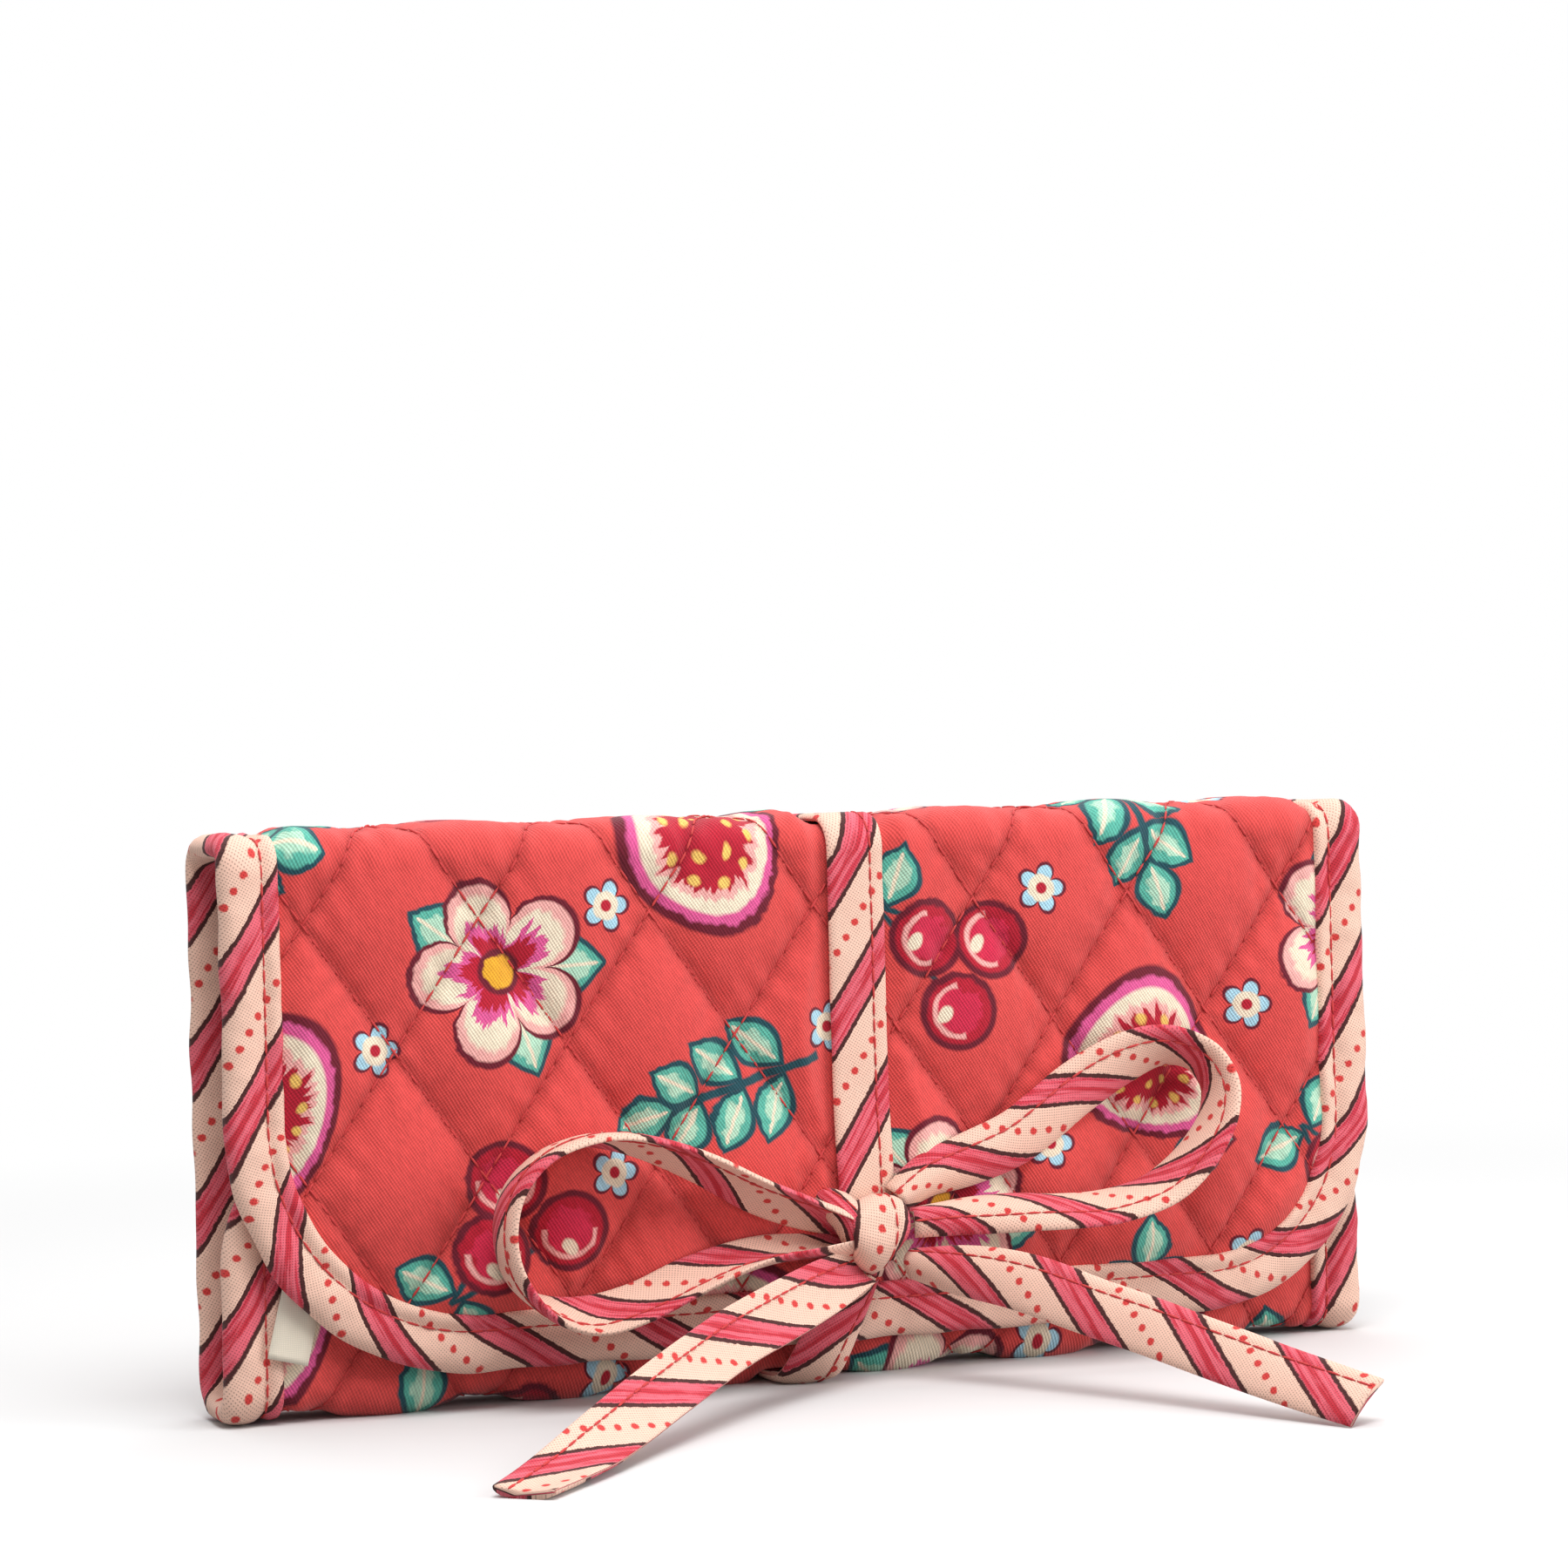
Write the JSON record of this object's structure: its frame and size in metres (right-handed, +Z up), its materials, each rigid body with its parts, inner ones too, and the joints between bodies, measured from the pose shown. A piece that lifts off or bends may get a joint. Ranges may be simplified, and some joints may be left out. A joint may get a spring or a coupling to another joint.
{
  "type": "jewelry roll",
  "caption": "Quilted fabric jewelry roll, folded shut and tied with a bow, with zipped clear pockets and a padded ring bar inside.",
  "frame": {"origin": "on the surface that the roll stands on, under the middle of its width and depth", "axes": "+X along the roll to the right as seen from the flap, +Y from the flap to the back panel, +Z up"},
  "size_m": [0.21, 0.1116, 0.096],
  "materials": {
    "shell": "quilted cotton twill, printed",
    "lining": "plain cotton",
    "binding": "striped cotton bias tape",
    "tie": "striped cotton bias tape, folded and sewn",
    "label": "satin ribbon, blank",
    "window": "clear soft vinyl",
    "zip_tape": "woven polyester",
    "zip_teeth": "moulded",
    "metal": "light gold plating",
    "ring_bar": "cotton over a stuffed core"
  },
  "bodies": {
    "back_panel": {"back_shell": "shell", "back_lining": "lining", "back_binding_left": "binding", "back_binding_right": "binding", "tie_back_strap": "tie", "back_pocket_window": "window", "back_pocket_edging": "binding", "back_zip_upper_tape": "zip_tape", "back_zip_lower_tape": "zip_tape", "back_zip_upper_teeth": "zip_teeth", "back_zip_lower_teeth": "zip_teeth", "back_zip_left_stop": "metal", "back_zip_right_stop": "metal", "ring_bar_anchor": "ring_bar", "snap_socket": "metal"},
    "top_spine": {"top_shell": "shell", "top_lining": "lining", "top_binding_left": "binding", "top_binding_right": "binding", "tie_top_strap": "tie"},
    "flap": {"flap_shell": "shell", "flap_lining": "lining", "flap_binding": "binding", "care_label": "label", "tie_flap_strap": "tie", "tie_lower_strap": "tie", "tie_knot": "tie", "tie_left_loop": "tie", "tie_right_loop": "tie", "tie_left_tail": "tie", "tie_right_tail": "tie", "flap_pocket_window": "window", "flap_pocket_edging": "binding", "flap_zip_upper_tape": "zip_tape", "flap_zip_lower_tape": "zip_tape", "flap_zip_upper_teeth": "zip_teeth", "flap_zip_lower_teeth": "zip_teeth", "flap_zip_left_stop": "metal", "flap_zip_right_stop": "metal"},
    "bottom_spine": {"bottom_shell": "shell", "bottom_lining": "lining", "bottom_binding_left": "binding", "bottom_binding_right": "binding", "tie_bottom_strap": "tie"},
    "inner_panel": {"inner_shell": "shell", "inner_lining": "lining", "inner_binding": "binding", "tie_inner_strap": "tie"},
    "flap_slider": {"flap_zip_slider": "metal"},
    "flap_pull": {"flap_zip_pull": "metal"},
    "back_slider": {"back_zip_slider": "metal"},
    "back_pull": {"back_zip_pull": "metal"},
    "ring_bar": {"ring_bar": "ring_bar", "ring_bar_snap_tab": "ring_bar", "snap_cap": "metal"}
  },
  "joints": [
    {"name": "top_fold", "type": "hinge", "parent": "back_panel", "child": "top_spine", "pos_m": [0, 0.01024, 0.09424], "axis": [-1, 0, 0], "range_deg": [0, 90]},
    {"name": "flap_fold", "type": "hinge", "parent": "top_spine", "child": "flap", "pos_m": [0, -0.01024, 0.09424], "axis": [-1, 0, 0], "range_deg": [0, 90]},
    {"name": "bottom_fold", "type": "hinge", "parent": "back_panel", "child": "bottom_spine", "pos_m": [0, 0.01024, 0.00176], "axis": [1, 0, 0], "range_deg": [0, 90]},
    {"name": "inner_fold", "type": "hinge", "parent": "bottom_spine", "child": "inner_panel", "pos_m": [0, -0.00564, 0.00176], "axis": [1, 0, 0], "range_deg": [0, 90]},
    {"name": "flap_zip", "type": "slide", "parent": "flap", "child": "flap_slider", "axis": [1, 0, 0], "range_m": [0, 0.16]},
    {"name": "flap_pull", "type": "hinge", "parent": "flap_slider", "child": "flap_pull", "pos_m": [-0.08, -0.00485, 0.078], "axis": [0, 0, 1], "range_deg": [0, 175]},
    {"name": "back_zip", "type": "slide", "parent": "back_panel", "child": "back_slider", "axis": [1, 0, 0], "range_m": [0, 0.16]},
    {"name": "back_pull", "type": "hinge", "parent": "back_slider", "child": "back_pull", "pos_m": [-0.08, 0.00485, 0.034], "axis": [0, 0, -1], "range_deg": [0, 175]},
    {"name": "ring_bar_lift", "type": "hinge", "parent": "back_panel", "child": "ring_bar", "pos_m": [-0.049, 0.0074, 0.0585], "axis": [0, 0, -1], "range_deg": [0, 75]}
  ],
  "couplings": [
    {"joint": "flap_fold", "follows": "top_fold", "ratio": 1},
    {"joint": "bottom_fold", "follows": "top_fold", "ratio": 1},
    {"joint": "inner_fold", "follows": "top_fold", "ratio": 1},
    {"joint": "ring_bar_lift", "follows": "top_fold", "ratio": 0.8}
  ]
}
